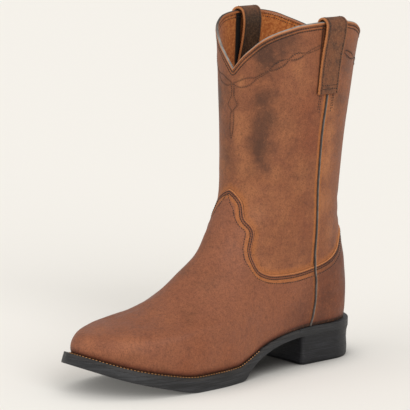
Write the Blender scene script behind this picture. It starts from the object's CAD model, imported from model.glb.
# %% [markdown]
# # Dressing a roper boot
# A roper is a low-heeled pull-on boot: a rubber sole and heel, a welt, a leather foot (vamp and counter)
# and a shaft with a scalloped collar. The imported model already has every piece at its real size. This
# script rebuilds the same surfaces finely, then adds what a solid leaves out: lining, creases, stitches,
# grain and wear. Sizes are millimetres. A place is (across, along, height): across is positive to the outer
# side, along runs from the back of the heel to the toe, and height is above the floor.

# %% Load the frame
import math

import bpy
import numpy as np
from mathutils import Matrix, Vector


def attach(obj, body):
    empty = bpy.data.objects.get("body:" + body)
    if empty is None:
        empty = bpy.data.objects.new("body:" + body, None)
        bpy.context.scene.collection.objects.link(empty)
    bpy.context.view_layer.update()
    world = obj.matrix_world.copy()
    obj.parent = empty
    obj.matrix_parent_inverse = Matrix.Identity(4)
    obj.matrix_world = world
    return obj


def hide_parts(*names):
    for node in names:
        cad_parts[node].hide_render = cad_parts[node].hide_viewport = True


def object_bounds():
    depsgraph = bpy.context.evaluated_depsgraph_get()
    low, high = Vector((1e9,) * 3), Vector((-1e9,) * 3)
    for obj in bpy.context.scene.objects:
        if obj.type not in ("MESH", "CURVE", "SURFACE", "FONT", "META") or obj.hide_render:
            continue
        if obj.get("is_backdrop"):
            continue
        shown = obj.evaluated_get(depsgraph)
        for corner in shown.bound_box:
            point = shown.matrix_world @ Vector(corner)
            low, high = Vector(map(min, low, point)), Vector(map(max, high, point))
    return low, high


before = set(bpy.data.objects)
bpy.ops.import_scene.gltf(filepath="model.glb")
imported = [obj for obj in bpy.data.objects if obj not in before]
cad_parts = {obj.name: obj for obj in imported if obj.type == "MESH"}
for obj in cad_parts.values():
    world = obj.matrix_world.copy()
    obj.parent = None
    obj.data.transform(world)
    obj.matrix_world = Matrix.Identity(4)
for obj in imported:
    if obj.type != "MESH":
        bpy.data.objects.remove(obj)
cad_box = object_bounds()
print("CAD nodes:", ", ".join(sorted(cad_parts)))

# %% [markdown]
# ## The camera
# The photograph was taken from the front and the outer side, a little above the boot, with a long lens. A
# long lens far away keeps the sole and the shaft in the same proportions as the eye sees them. A small
# shift puts the boot at the photograph's place in the frame, and a small roll levels the floor.

# %% Camera at the photograph's angle
PHOTO_SIDE = 410
VIEW_TURN, VIEW_RISE, VIEW_ROLL = 48.11, 10.45, 0.99
VIEW_DISTANCE = 2.2
FOCAL_PIXELS = 2583.0
SENSOR_WIDTH = 36.0
AIM = Vector((0, -0.113, 0.145))
AIM_PIXEL_X, AIM_PIXEL_Y = 214.4, 205.8


def add_camera():
    turn, rise, roll = (math.radians(angle) for angle in (VIEW_TURN, VIEW_RISE, VIEW_ROLL))
    back = Vector((math.sin(turn) * math.cos(rise), -math.cos(turn) * math.cos(rise), math.sin(rise)))
    right = Vector((math.cos(turn), math.sin(turn), 0))
    up = back.cross(right)
    right_rolled = right * math.cos(roll) + up * math.sin(roll)
    up_rolled = up * math.cos(roll) - right * math.sin(roll)
    data = bpy.data.cameras.new("photo_camera")
    data.sensor_width = SENSOR_WIDTH
    data.lens = FOCAL_PIXELS / PHOTO_SIDE * SENSOR_WIDTH
    data.shift_x = (PHOTO_SIDE / 2 - AIM_PIXEL_X) / PHOTO_SIDE
    data.shift_y = (AIM_PIXEL_Y - PHOTO_SIDE / 2) / PHOTO_SIDE
    data.clip_end = 100
    camera = bpy.data.objects.new("photo_camera", data)
    camera.matrix_world = Matrix.Translation(AIM + back * VIEW_DISTANCE) @ Matrix(
        (right_rolled, up_rolled, back)).transposed().to_4x4()
    bpy.context.scene.collection.objects.link(camera)
    bpy.context.scene.camera = camera
    return camera


camera = add_camera()
print("lens", round(camera.data.lens, 1), "mm, at", [round(value, 3) for value in camera.location])

# %% [markdown]
# ## Smooth lines through short tables
# A bootmaker's last is known by a few measured sections. Each table below holds such sections, and a curve
# runs smoothly between its rows. Polynomials through all the rows would swing past them, so the slope at
# each row is the harmonic mean of its neighbours' slopes, which never overshoots.

# %% Tables and curves
MM = 0.001
GAP = 0.3
CLOSE_GAP = 0.08


def table(columns, *rows):
    """A short table: gives each named column as a list."""
    return {name: [row[i] for row in rows] for i, name in enumerate(columns.split())}


def line_reach(points):
    """Distance along a line of points, from the first one to each."""
    return np.concatenate([[0], np.cumsum(np.linalg.norm(np.diff(points, axis=0), axis=1))])


def between_rows(x, knots, values, slope):
    """Smooth values at x, between rows that each have a value and a slope."""
    i = np.clip(np.searchsorted(knots, x, side="right") - 1, 0, len(knots) - 2)
    step = knots[i + 1] - knots[i]
    part = (x - knots[i]) / step
    if values.ndim > 1:
        step, part = step[:, None], part[:, None]
    rest = 1 - part
    start = (1 + 2 * part) * rest**2 * values[i] + part * rest**2 * step * slope[i]
    end = (1 + 2 * rest) * part**2 * values[i + 1] - rest * part**2 * step * slope[i + 1]
    return start + end


def curve(knots, values):
    """Smooth curve through a table's rows, which never swings past them."""
    knots, values = np.array(knots, float), np.array(values, float)
    step = np.diff(knots)
    rise = np.diff(values) / step
    before, after = rise[:-1], rise[1:]
    turning = before * after <= 0
    near, far = 2 * step[1:] + step[:-1], step[1:] + 2 * step[:-1]
    mean = (near + far) / (near / np.where(turning, 1, before) + far / np.where(turning, 1, after))
    slope = np.concatenate([rise[:1], np.where(turning, 0, mean), rise[-1:]])
    return lambda x: between_rows(np.clip(x, knots[0], knots[-1]), knots, values, slope)


def curves(places):
    """A curve for each column of a table, over its first column."""
    knots, *columns = places.values()
    return [curve(knots, values) for values in columns]


def route(places, count):
    """Evenly spaced points on a smooth line through the rows of a table with two columns."""
    points = np.stack(list(places.values()), 1).astype(float)
    reach = line_reach(points)
    slope = np.gradient(points, reach, axis=0)
    return between_rows(np.linspace(0, reach[-1], count), reach, points, slope)


def smooth_step(value, low, high):
    """0 below low, 1 above high, and a soft change between them."""
    part = np.clip((value - low) / (high - low), 0, 1)
    return part * part * (3 - 2 * part)

# %% [markdown]
# ## The boot's sections
# These are the sizes that the solids were lofted from, so every fine surface below lies on its solid. The
# sole is known by its half widths and by the heights of its underside and seat. The upper is known by the
# line over its front, the line down its back, the shaft's width and how each level rounds off at both ends.

# %% Sections of sole and upper
SOLE_LENGTH = 301.0
HEEL_RADIUS = 34.0
HEEL_MIDDLE = 37.0
HEEL_BREAST = 75.0
WELT_END = 78.0
SLOPE_START = WELT_END + 10
WELT_THICKNESS = 3.0
INSOLE_THICKNESS = 2.4
TOE_REACH, TOE_POWER = 62.0, 2.2
TOE_SWING, SWING_START, SWING_LENGTH = -9.5, 190.0, 110.0
FEATHER_HEIGHT = 16.0
ANKLE_LOW, ANKLE_HIGH = 55.0, 120.0

SOLE = table(
    "along outer inner bottom top",
    (0, 34.0, 34.0, 26.0, 33.5), (34, 34.0, 34.0, 26.0, 33.5), (66, 34.0, 32.5, 26.0, 33.5),
    (82, 34.6, 30.5, 25.2, 32.6), (95, 35.5, 28.5, 23.8, 31.0), (110, 37.0, 26.8, 21.0, 28.1),
    (123, 38.8, 26.8, 17.0, 24.2), (134, 41.0, 28.0, 12.5, 20.0), (142, 42.8, 29.3, 8.0, 16.9),
    (150, 44.6, 31.0, 1.2, 14.3), (156, 45.8, 32.8, 0.0, 13.3), (180, 49.3, 39.8, 0.0, 12.9),
    (206, 49.8, 46.0, 0.0, 12.9), (216, 49.2, 46.4, 1.2, 13.6), (240, 47.0, 46.4, 7.2, 18.1),
    (270, 42.2, 41.6, 15.6, 25.3), (301, 34.0, 34.0, 27.4, 36.2))
FEATHER = table(
    "along inside tuck",
    (0, 3.0, 1.0), (34, 2.5, 1.0), (75, 1.2, 1.0), (95, 0.5, 1.5), (135, 0.8, 2.5), (175, 1.5, 3.0),
    (300, 1.5, 3.0))
FRONT_LINE = table(
    "along height",
    (291.5, 30.0), (292.8, 38.0), (288.2, 47.2), (271.0, 53.2), (247.4, 57.6), (226.0, 63.8), (205.4, 73.4),
    (186.4, 87.2), (164.6, 102.8), (149.0, 124.5), (136.4, 146.4), (132.2, 172.0), (128.9, 205.0),
    (126.0, 250.0), (127.0, 305.0))
BACK_LINE = table(
    "height along",
    (30, 5.5), (45, 3.5), (60, 2.6), (85, 4.8), (110, 10.8), (140, 14.5), (175, 12.2), (220, 7.5),
    (260, 1.0), (305, -11.6))
SHAFT = table(
    "height half_width lean",
    (60, 33.9, 0.0), (90, 35.0, 0.0), (120, 37.9, -0.6), (150, 41.0, -1.5), (200, 47.5, -3.9),
    (250, 54.3, -6.6), (305, 56.6, -9.3))
ROUNDING = table(
    "height toe_reach heel_reach toe_power heel_power",
    (30, 60, 36, 2.1, 2.2), (45, 69, 40, 2.1, 2.2), (60, 112, 44, 2.1, 2.2), (85, 109, 50, 2.05, 2.15),
    (110, 90, 55, 2.0, 2.1), (150, 66, 60, 2.0, 2.1), (200, 60, 62, 2.0, 2.1), (305, 66, 67, 2.1, 2.1))

outer_edge, inner_edge, sole_bottom, sole_top = curves(SOLE)
feather_inside, feather_tuck = curves(FEATHER)
[back_line] = curves(BACK_LINE)
shaft_half_width, shaft_lean = curves(SHAFT)
toe_reach, heel_reach, toe_power, heel_power = curves(ROUNDING)
front_points = route(FRONT_LINE, 400)


def front_line(height):
    """Where the line over the toe and up the front is at this height."""
    return np.interp(height, front_points[:, 1], front_points[:, 0])


def rounding(distance, reach, power):
    """Part of the full width left at this distance from the end of a rounded form."""
    part = np.clip(1 - distance / reach, 0, 1)
    return np.clip(1 - part**power, 0, 1) ** (1 / power)


def swing(along):
    """How far the middle of the forefoot curves to the inner side."""
    return TOE_SWING * np.clip((along - SWING_START) / SWING_LENGTH, 0, 2) ** 2


def sole_across(along, side):
    """The sole's edge on the outer (1) or inner (-1) side."""
    width = np.where(side > 0, outer_edge(along), inner_edge(along))
    toe = rounding(SOLE_LENGTH - along, TOE_REACH, TOE_POWER)
    return swing(along) + side * width * toe * rounding(along, HEEL_RADIUS, 2)


def sole_point(across, along, below_top):
    """A point of the sole this far below its seat, square to the seat's slope."""
    thickness = sole_top(along) - sole_bottom(along)
    slope = (sole_top(along + 1) - sole_top(along - 1)) / 2
    slope = slope * smooth_step(along, HEEL_BREAST, SLOPE_START)
    down = np.minimum(below_top, thickness)
    back = (thickness - down) * slope / np.sqrt(1 + slope**2)
    return np.stack(np.broadcast_arrays(across, along - back, sole_top(along) - down), -1)


seat_stations = np.linspace(0, SOLE_LENGTH, 600)
seat_points = sole_point(0, seat_stations, 0)


def seat(along):
    """Height of the sole's top face at this place."""
    return np.interp(along, seat_points[:, 1], seat_points[:, 2])


def seat_section(along):
    """The station of the sole whose top ends at this place."""
    return np.interp(along, seat_points[:, 1], seat_stations)


print("sole", SOLE_LENGTH, "mm long,", round(float(outer_edge(206) + inner_edge(206)), 1), "mm at the ball")

# %% [markdown]
# ## One surface for the whole upper
# Vamp, counter and shaft are stretched over one last, so one function gives the skin: a turn round the boot
# and a height give a place. Every other piece of the upper (lining, bead, piping, strap, stitches) is then
# an offset from this skin, which keeps them all seated on it.

# %% The skin of the upper


def skin(turn, height):
    """The upper's surface. turn is 0 at the back, a quarter turn at the outer side and pi at the front."""
    start, end = back_line(height), front_line(height)
    along = start + (end - start) * (1 - np.cos(turn)) / 2
    outer = np.sin(turn) >= 0
    shaft = smooth_step(height, ANKLE_LOW, ANKLE_HIGH)
    tucked = feather_tuck(along) * np.clip(1 - (height - seat(along)) / FEATHER_HEIGHT, 0, 1) ** 2
    foot = np.where(outer, outer_edge(along), inner_edge(along)) - feather_inside(along) - tucked
    width = foot * (1 - shaft) + shaft_half_width(height) * shaft
    room = np.maximum((toe_reach(height) + heel_reach(height)) / (end - start), 1)
    toe = rounding(end - along, toe_reach(height) / room, toe_power(height))
    heel = rounding(along - start, heel_reach(height) / room, heel_power(height))
    middle = swing(along) * (1 - shaft) + shaft_lean(height) * shaft
    across = middle + np.where(outer, 1, -1) * width * toe * heel
    return np.stack(np.broadcast_arrays(across, along, height), -1)


def skin_normal(turn, height, level=False):
    """Outward direction of the skin, or its level part only."""
    small_turn, small_height = 0.01, 0.4
    round_it = skin(turn + small_turn, height) - skin(turn - small_turn, height)
    up_it = skin(turn, height + small_height) - skin(turn, height - small_height)
    normal = np.cross(round_it, up_it)
    if level:
        normal[..., 2] = 0
    return normal / np.linalg.norm(normal, axis=-1, keepdims=True)


def offset_skin(turn, height, distance, level=False):
    """The skin moved outwards by a distance."""
    distance = np.asarray(distance, float)
    distance = distance[..., None] if distance.ndim else distance
    return skin(turn, height) + distance * skin_normal(turn, height, level)


def degrees_from_back(turn):
    """Degrees from the back to this turn, the same on both sides."""
    return np.degrees(np.arccos(np.cos(turn)))


def feather_height(turn):
    """Height of the upper's lower rim, just above the sole's seat."""
    height = np.full_like(turn, seat(0.0))
    for _ in range(12):
        height = seat(skin(turn, height)[..., 1]) + GAP
    return height


# %% [markdown]
# ## The cut lines of the leather
# Three lines are drawn on the skin before any leather is cut: the scalloped collar, the edge where vamp and
# counter lie over the shaft, and the side seam. Each is a table of degrees round the boot, 0 at the back
# and 180 at the front, and both sides share it.

# %% Collar, vamp edge and side seam
SHAFT_WALL = 2.0
VAMP_STEP = 1.0
STEP_HEIGHT = 0.6
OUTSIDE = VAMP_STEP / 2
LINING_DEPTH = SHAFT_WALL + OUTSIDE

PEAK_SHIFT, PEAK_SPREAD = 4.0, 24.0
COLLAR = table(
    "degrees height",
    (0, 277.5), (20, 280.0), (38, 286.5), (50, 291.0), (66, 296.8), (80, 299.1), (100, 299.3),
    (118, 297.6), (131, 293.6), (139, 290.4), (147, 286.4), (154, 281.7), (161, 275.9), (168, 270.2),
    (174, 264.4), (180, 258.2))
VAMP_EDGE = table(
    "degrees height",
    (0, 118.0), (20, 115.5), (35, 109.0), (46, 97.5), (54, 91.5), (67, 86.5), (83, 83.8), (97, 84.6),
    (109, 88.8), (119, 97.0), (128, 108.5), (132, 122.5), (150, 136.0), (159, 147.5), (176, 156.5),
    (180, 157.5))
SIDE_SEAM = table(
    "height along",
    (30, 65.5), (45, 61.5), (60, 59.2), (72, 59.4), (85, 61.8), (105, 63.2), (130, 64.2), (165, 66.6),
    (200, 67.0), (240, 64.8), (305, 58.5))
[collar_height] = curves(COLLAR)
[vamp_edge_height] = curves(VAMP_EDGE)
[seam_along] = curves(SIDE_SEAM)


def collar_edge(turn):
    return collar_height(degrees_from_back(turn))


def vamp_edge(turn):
    """Height of the vamp's cut edge. Its peak stands a little to the outer side of the boot's middle."""
    around = np.mod(turn, 2 * math.pi)
    away = (around - math.pi) / math.radians(PEAK_SPREAD)
    return vamp_edge_height(degrees_from_back(around + math.radians(PEAK_SHIFT) * np.exp(-(away**2))))


def seam_turn(height, side):
    """Turn of the side seam at a height, on the outer (1) or inner (-1) side."""
    start, end = back_line(height), front_line(height)
    return side * np.arccos(1 - 2 * (seam_along(height) - start) / (end - start))


def turn_per_mm(turn, height):
    """How much turn is one millimetre round the skin."""
    small_turn = 0.01
    reach = np.linalg.norm(skin(turn + small_turn, height) - skin(turn - small_turn, height), axis=-1)
    return 2 * small_turn / reach


print("collar from", min(COLLAR["height"]), "to", max(COLLAR["height"]), "mm")

# %% [markdown]
# ## From grids of points to meshes
# All the main pieces are lofts: rows of points skinned with quads. A grid that closes on itself both ways
# is a ring, like the wall of the upper. Writing the arrays straight into the mesh is much faster than
# adding faces one by one, and the volume's sign shows whether the faces point out.

# %% Mesh helpers


def to_world(points):
    """(across, along, height) in millimetres to the frame's metres, toe towards -Y."""
    points = np.asarray(points, float)
    return np.stack([points[..., 0], HEEL_MIDDLE - points[..., 1], points[..., 2]], -1) * MM


def grid_faces(rows, columns, joined_rows, joined_columns=True):
    """Quads between neighbouring points of a grid, as rows of four indices."""
    i = np.arange(rows if joined_rows else rows - 1)[:, None]
    j = np.arange(columns if joined_columns else columns - 1)[None, :]
    up, on = (i + 1) % rows, (j + 1) % columns
    corners = (i * columns + j, i * columns + on, up * columns + on, up * columns + j)
    return np.stack([np.broadcast_to(corner, (i.size, j.size)) for corner in corners], -1).reshape(-1, 4)


def signed_volume(points, faces):
    a, b, c = points[faces[:, 0]], points[faces[:, 1]], points[faces[:, 2]]
    d = points[faces[:, 3]]
    return ((np.cross(a, b) * c).sum() + (np.cross(a, c) * d).sum()) / 6


def add_object(name, data):
    obj = bpy.data.objects.new(name, data)
    bpy.context.scene.collection.objects.link(obj)
    return obj


def make_object(name, points, faces, materials, sharp_angle=50.0, ends=(), face_material=None):
    """One mesh object from world points. Faces are turned outwards if the volume comes out negative."""
    faces = np.asarray(faces)
    if signed_volume(points, faces) < 0:
        faces = faces[:, ::-1]
        ends = [end[::-1] for end in ends]
    mesh = bpy.data.meshes.new(name)
    mesh.from_pydata(points.tolist(), [], faces.tolist() + [list(end) for end in ends])
    for material in materials:
        mesh.materials.append(material)
    if face_material is not None:
        values = np.concatenate([face_material, np.full(len(ends), face_material[-1])]).astype(np.int32)
        mesh.polygons.foreach_set("material_index", values)
    mesh.shade_smooth()
    mesh.set_sharp_from_angle(angle=math.radians(sharp_angle))
    mesh.update()
    return add_object(name, mesh)


def loft(name, sections, material, joined=False, sharp_angle=50.0):
    """Skins closed sections in order. The last joins the first, or both end sections are filled."""
    sections = np.array(sections)
    count, size, _ = sections.shape
    faces = grid_faces(count, size, joined)
    ends = []
    if not joined:
        ends = [tuple(range(size))[::-1], tuple(range((count - 1) * size, count * size))]
    return make_object(name, to_world(sections).reshape(-1, 3), faces, [material], sharp_angle, ends)


def paint(obj, name, values):
    """Stores one number for each point of the mesh, which a material can read."""
    attribute = obj.data.attributes.new(name, "FLOAT", "POINT")
    attribute.data.foreach_set("value", np.asarray(values, np.float32).reshape(-1))


def seat_piece(obj, slot, *nodes):
    """The piece rides with the boot, takes its finish from a slot and stands for CAD nodes."""
    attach(obj, "root")
    if nodes:
        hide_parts(*nodes)
    triangles = sum(len(polygon.vertices) - 2 for polygon in obj.data.polygons)
    print(obj.name, triangles, "triangles")
    return obj


# %% [markdown]
# ## Materials, from small groups of nodes
# Leather is not one colour. Waxed leather is darker where oil gathers, paler where it is stretched or
# rubbed, and every hide has fine grain. Each material below starts from a base colour and mixes in two or
# three patterns on Object coordinates, whose unit is the metre, so a scale of 100 repeats about every
# centimetre.

# %% Node helpers


class Nodes:
    """A short way to write a tree of nodes."""

    def __init__(self, tree):
        self.tree = tree

    def link(self, value, socket):
        """Connects a node's output, or sets a plain number, vector or colour."""
        if isinstance(value, bpy.types.NodeSocket):
            self.tree.links.new(value, socket)
        elif isinstance(value, tuple) and socket.type == "RGBA":
            socket.default_value = (*value, 1)
        else:
            socket.default_value = value

    def add(self, kind, output, inputs, **settings):
        """Adds a node with its settings, fills its inputs and gives one of its outputs."""
        node = self.tree.nodes.new(kind)
        for name, value in settings.items():
            setattr(node, name, value)
        for name, value in inputs.items():
            self.link(value, node.inputs[name])
        return node.outputs[output]

    def math(self, operation, first, *others):
        """One operation on a value, or on several values in order."""
        for other in others or (0.0,):
            first = self.add("ShaderNodeMath", "Value", {0: first, 1: other}, operation=operation)
        return first


class Surface(Nodes):
    """The nodes of one material."""

    def __init__(self, name):
        self.material = bpy.data.materials.new(name)
        self.material.use_nodes = True
        super().__init__(self.material.node_tree)
        self.shader = self.tree.nodes["Principled BSDF"]
        self.place = self.add("ShaderNodeTexCoord", "Object", {})

    def noise(self, scale, detail=3.0, roughness=0.55, distortion=0.0, stretch=(1, 1, 1)):
        place = self.add("ShaderNodeMapping", "Vector", {"Scale": stretch, "Vector": self.place})
        return self.add("ShaderNodeTexNoise", "Fac", {
            "Vector": place, "Scale": scale, "Detail": detail, "Roughness": roughness,
            "Distortion": distortion})

    def cells(self, scale):
        return self.add("ShaderNodeTexVoronoi", "Distance", {"Vector": self.place, "Scale": scale})

    def level(self, axis):
        return self.add("ShaderNodeSeparateXYZ", axis, {"Vector": self.place})

    def painted(self, name):
        return self.add("ShaderNodeAttribute", "Fac", {}, attribute_name=name)

    def spread(self, value, low, high, to_low=0.0, to_high=1.0):
        """Maps low..high of a pattern to to_low..to_high, softly, and holds it there outside."""
        return self.add("ShaderNodeMapRange", "Result", {
            "Value": value, "From Min": low, "From Max": high, "To Min": to_low, "To Max": to_high,
        }, interpolation_type="SMOOTHSTEP")

    def near(self, value, centre, half_width):
        """1 where the value is at the centre, falling to 0 at half_width on both sides."""
        away = self.math("ABSOLUTE", self.math("SUBTRACT", value, centre))
        return self.spread(away, 0.0, half_width, 1.0, 0.0)

    def tint(self, colour, *layers):
        """Lays (share, colour) pairs over a colour, the lowest first."""
        for share, layer in layers:
            colour = self.add("ShaderNodeMix", 2, {"Factor": share, 6: colour, 7: layer}, data_type="RGBA")
        return colour

    def bumps(self, *layers):
        """Relief of (height, distance, strength) layers, the lowest first."""
        under = {}
        for height, distance, strength in layers:
            inputs = {"Strength": strength, "Distance": distance, "Height": height, **under}
            under = {"Normal": self.add("ShaderNodeBump", "Normal", inputs)}
        return under["Normal"]

    def finish(self, colour, roughness, normal=None, **fixed):
        """Fills the Principled shader. Fixed values go straight on its own sockets."""
        self.link(colour, self.shader.inputs["Base Color"])
        self.link(roughness, self.shader.inputs["Roughness"])
        if normal is not None:
            self.link(normal, self.shader.inputs["Normal"])
        for name, value in fixed.items():
            self.shader.inputs[name.replace("_", " ")].default_value = value
        return self.material

# %% [markdown]
# ## The leathers
# The foot and the shaft are cut from one kind of hide, waxed and rubbed. On the boot the foot is redder,
# and the shaft has greyer, darker clouds. Close to a cut edge or a seam the leather is stretched and shows
# orange. The masks for wax, rub and the distances to edges are painted on the mesh further below.

# %% Waxed leather of foot and shaft
LEATHER_BROWN = (0.212, 0.072, 0.033)
LEATHER_RED = (0.176, 0.061, 0.039)
LEATHER_DARK = (0.072, 0.031, 0.018)
LEATHER_TAN = (0.385, 0.150, 0.060)
LEATHER_PINK_TAN = (0.350, 0.128, 0.062)
LEATHER_ORANGE = (0.40, 0.135, 0.035)
LEATHER_RUSSET = (0.19, 0.048, 0.022)
LEATHER_SHADOW = (0.03, 0.012, 0.006)
COUNTER_BROWN = (0.098, 0.031, 0.017)
RIM_RED = (0.085, 0.017, 0.008)
SPECK_BROWN = (0.045, 0.018, 0.010)
MOTTLE_DARK, MOTTLE_LIGHT = (0.055, 0.022, 0.013), (0.44, 0.17, 0.075)
ROW_NEAR, ROW_SECOND = 1.4, 3.2
COLLAR_ROW_NEAR, COLLAR_ROW_SECOND = 1.3, 3.8
GROOVE = 0.75


def leather(name, base, is_vamp):
    """Waxed leather. The painted distances to cut lines are in millimetres."""
    n = Surface(name)
    clouds = n.noise(24, 4, 0.6, 0.5)
    small_clouds = n.noise(85, 4, 0.65)
    streaks = n.noise(60, 4, 0.65, 0.3, stretch=(1, 1, 0.4))
    speck = n.noise(850, 3, 0.65)
    mottle = n.noise(330, 5, 0.75, stretch=(1, 1, 0.8))
    to_edge, to_floor, to_seam = (n.painted(word) for word in ("to_edge", "to_floor", "to_seam"))
    heel = n.painted("heel")

    def cloudy(to_low, to_high):
        return n.spread(small_clouds, 0.3, 0.75, to_low, to_high)

    if is_vamp:
        tan, streaked = LEATHER_PINK_TAN, 0.12
        rows = (n.near(to_edge, ROW_NEAR, GROOVE), n.near(to_edge, ROW_SECOND, GROOVE),
                n.near(n.painted("to_third"), 0.0, GROOVE))
        folds = (n.spread(to_edge, 0.0, 0.8, 0.95, 0.35), n.near(to_edge, 5.0, 4.0))
        cut = ()
        counter = ((n.math("MULTIPLY", heel, n.spread(clouds, 0.3, 0.7, 0.45, 0.8)), COUNTER_BROWN),)
    else:
        tan, streaked = LEATHER_TAN, 0.26
        to_collar = n.painted("to_collar")
        rows = (n.near(to_collar, COLLAR_ROW_NEAR, GROOVE), n.near(to_collar, COLLAR_ROW_SECOND, GROOVE))
        folds = (n.spread(to_edge, -9.0, -1.0, 0.0, 0.75), n.spread(to_collar, 0.0, 1.0, 0.8, 0.0),
                 n.math("MULTIPLY", n.near(to_collar, 2.6, 1.0), 0.5))
        cut = (n.near(to_edge, -0.2, 1.1),)
        counter = ()
    wax = n.math("ADD", n.painted("wax"), n.spread(clouds, 0.40, 0.72, -0.08, 0.34), cloudy(-0.09, 0.09))
    rub = n.math("ADD", n.painted("rub"), n.spread(streaks, 0.40, 0.78, -0.05, streaked), cloudy(0.06, -0.07))
    orange = n.math("MAXIMUM", n.near(to_seam, 2.6, 2.4), *folds)
    row = n.math("MAXIMUM", *rows)
    dark = n.math(
        "MAXIMUM", n.math("MULTIPLY", row, 0.52), n.spread(to_seam, 0.5, 1.6, 0.9, 0.0),
        n.spread(to_floor, 0.6, 3.2, 0.85, 0.0),
        n.math("MULTIPLY", heel, n.spread(to_floor, 1.6, 3.8, 1.0, 0.0)),
        n.painted("crevice"), *cut, n.spread(n.painted("to_pattern"), 0.2, 1.6, 0.30, 0.0))
    colour = n.tint(
        base,
        (cloudy(0.24, 0.0), tan),
        (n.spread(rub, 0.05, 1.0, 0.0, 0.85), tan),
        (n.spread(n.painted("red"), 0.0, 1.0, 0.0, 0.7), LEATHER_RUSSET),
        (n.spread(wax, 0.05, 1.0, 0.0, 0.92), LEATHER_DARK),
        (n.spread(orange, 0.0, 1.0, 0.0, 0.72), LEATHER_ORANGE),
        *counter,
        (n.spread(to_floor, 1.0, 7.0, 0.75, 0.0), RIM_RED),
        (dark, LEATHER_SHADOW),
        (n.spread(speck, 0.42, 0.72, 0.0, 0.42), SPECK_BROWN),
        (n.spread(mottle, 0.48, 0.74, 0.0, 0.42), MOTTLE_DARK),
        (n.spread(mottle, 0.26, 0.46, 0.30, 0.0), MOTTLE_LIGHT))
    normal = n.bumps(
        (n.cells(1300), 0.00022, 0.6), (n.noise(2400, 2, 0.5), 0.00008, 0.6),
        (n.noise(260, 4, 0.6), 0.0006, 0.35), (n.math("SUBTRACT", 1.0, row), 0.0005, 0.9))
    return n.finish(colour, cloudy(0.60, 0.46), normal, Specular_IOR_Level=0.22)


shaft_leather = leather("shaft_leather", LEATHER_BROWN, False)
vamp_leather = leather("vamp_leather", LEATHER_RED, True)

# %% [markdown]
# The lining is the flesh side of an orange-tan hide: no gloss, a short nap and small dark flecks.

# %% Lining, raw edges and trim
STRAP_ROW = 0.78


def two_tone(name, pattern, reach, dark, light, roughness, grain=(), **fixed):
    """A plain material: a pattern mixes two colours, and grain is a pattern, a distance and a strength."""
    n = Surface(name)
    colour = n.tint(dark, (n.spread(n.noise(*pattern), *reach), light))
    normal = n.bumps((n.noise(*grain[0]), *grain[1:])) if grain else None
    return n.finish(colour, roughness, normal, **fixed)


def lining_suede():
    n = Surface("lining_suede")
    flecks, clouds = n.noise(420, 4, 0.7), n.noise(40, 3, 0.6)
    colour = n.tint(
        (0.27, 0.072, 0.017),
        (n.spread(flecks, 0.36, 0.66), (0.46, 0.165, 0.045)),
        (n.spread(clouds, 0.4, 0.7, 0.0, 0.35), (0.30, 0.085, 0.024)),
        (n.painted("crevice"), (0.006, 0.004, 0.003)))
    normal = n.bumps((flecks, 0.0004, 0.5))
    return n.finish(colour, 0.9, normal, Specular_IOR_Level=0.15, Sheen_Weight=0.25, Sheen_Roughness=0.4)


def bead_leather():
    """Side piping. The painted profile runs from -1 on its front side to 1 on its back side."""
    n = Surface("bead_leather")
    worn = n.spread(n.noise(160, 4, 0.65), 0.35, 0.7)
    grey = n.tint((0.13, 0.11, 0.097), (worn, (0.27, 0.235, 0.205)))
    dark = n.tint((0.02, 0.014, 0.011), (worn, (0.05, 0.036, 0.03)))
    colour = n.tint(grey, (n.spread(n.painted("profile"), -0.1, 0.2, 1.0, 0.0), dark))
    return n.finish(colour, 0.5, n.bumps((n.noise(1200, 2, 0.5), 0.0001, 0.5)))


def collar_leather():
    """Collar bead. The painted profile runs from -1 inside the collar to 1 outside it."""
    n = Surface("collar_leather")
    worn = n.spread(n.noise(120, 4, 0.65), 0.35, 0.7)
    profile = n.painted("profile")
    dull = n.tint((0.035, 0.022, 0.016), (n.spread(profile, -0.62, -0.45, 1.0, 0.0), (0.30, 0.10, 0.03)))
    colour = n.tint(
        (0.15, 0.13, 0.115),
        (worn, (0.30, 0.265, 0.235)),
        (n.painted("dulled"), dull),
        (n.spread(profile, -0.80, -0.62, 1.0, 0.0), (0.34, 0.11, 0.032)),
        (n.spread(profile, 0.56, 0.68), (0.40, 0.14, 0.04)),
        (n.spread(profile, 0.86, 0.98), (0.11, 0.042, 0.02)))
    return n.finish(colour, 0.55, n.bumps((n.noise(1200, 2, 0.5), 0.0001, 0.5)))


def strap_leather():
    """Waxed like the shaft. Painted across is 0 in the strap's middle and 1 at its edges."""
    n = Surface("strap_leather")
    clouds, speck = n.noise(110, 5, 0.7), n.noise(620, 4, 0.7)
    across = n.painted("across")
    row = n.near(across, STRAP_ROW, 0.075)
    flesh_side = n.tint((0.028, 0.014, 0.007), (n.spread(speck, 0.4, 0.7), (0.085, 0.044, 0.022)))
    colour = n.tint(
        (0.155, 0.056, 0.024),
        (n.spread(clouds, 0.35, 0.7), (0.058, 0.026, 0.015)),
        (n.spread(speck, 0.42, 0.72, 0.0, 0.5), (0.27, 0.12, 0.055)),
        (n.painted("inside"), flesh_side),
        (n.math("MULTIPLY", row, 0.3), LEATHER_SHADOW),
        (n.spread(across, 0.9, 0.97, 0.0, 0.75), LEATHER_ORANGE))
    normal = n.bumps((n.cells(1200), 0.00022, 0.6), (n.math("SUBTRACT", 1.0, row), 0.0004, 0.8))
    return n.finish(colour, n.spread(speck, 0.3, 0.7, 0.5, 0.62), normal, Specular_IOR_Level=0.25)


def thread(name, dark, light):
    return two_tone(name, (2600, 2, 0.5), (0.35, 0.65), dark, light, 0.6)


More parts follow.
